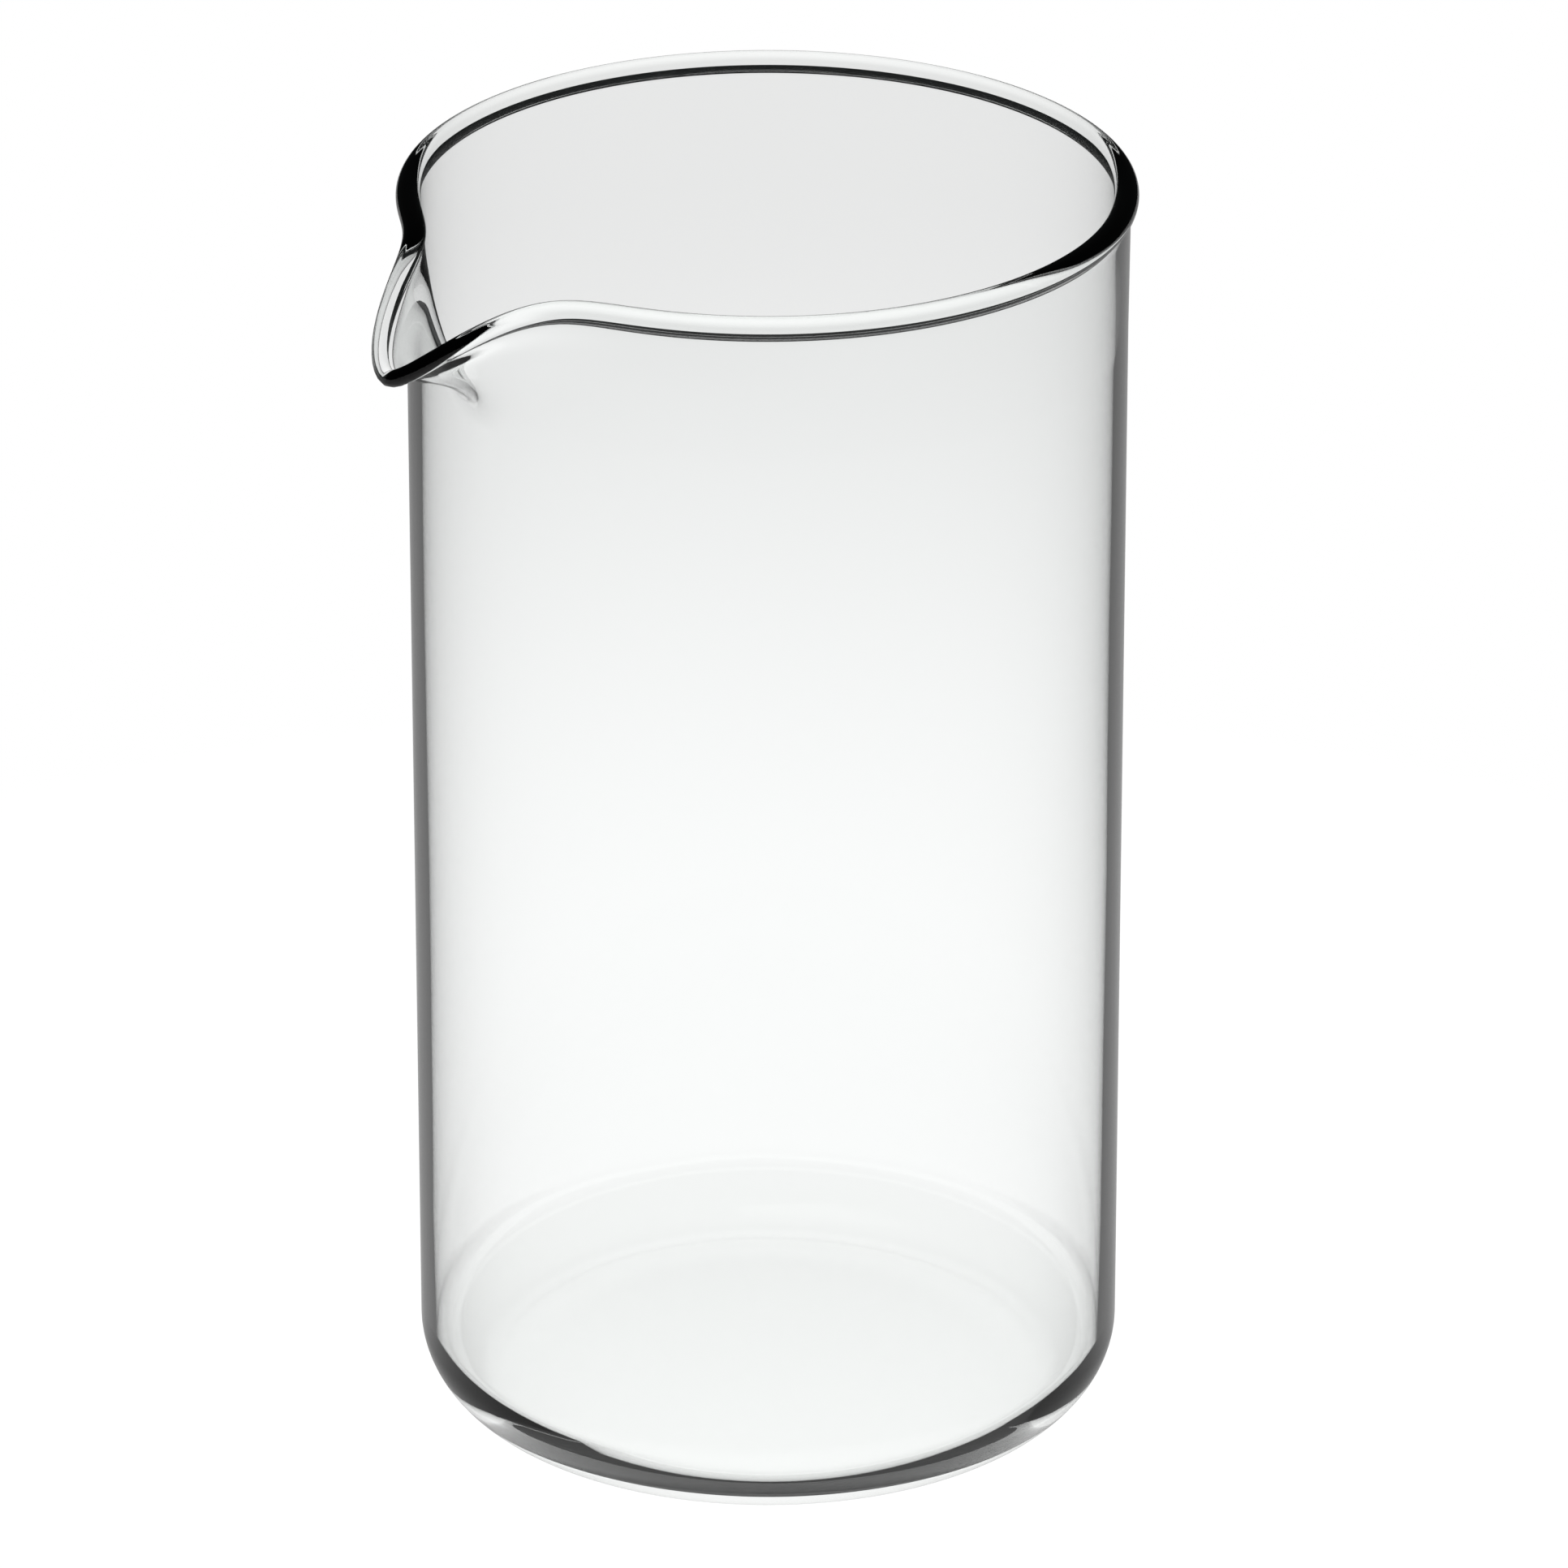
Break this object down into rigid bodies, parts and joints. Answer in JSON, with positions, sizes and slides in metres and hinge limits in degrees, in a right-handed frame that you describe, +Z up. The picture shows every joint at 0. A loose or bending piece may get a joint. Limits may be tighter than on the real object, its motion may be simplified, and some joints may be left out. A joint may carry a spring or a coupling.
{
  "type": "beaker",
  "caption": "Tall straight-sided clear glass beaker with a beaded rim, a drawn pouring spout and a rounded base.",
  "frame": {"origin": "middle of the foot ring, on the plane that the beaker stands on", "axes": "+Z up along the axis of the straight wall, out of the mouth; +X from the axis towards the spout"},
  "size_m": [0.1122, 0.0984, 0.177],
  "materials": {
    "clear_glass": "clear colourless borosilicate glass, fire polished"
  },
  "bodies": {
    "root": {"beaker_glass": "clear_glass"}
  },
  "joints": []
}
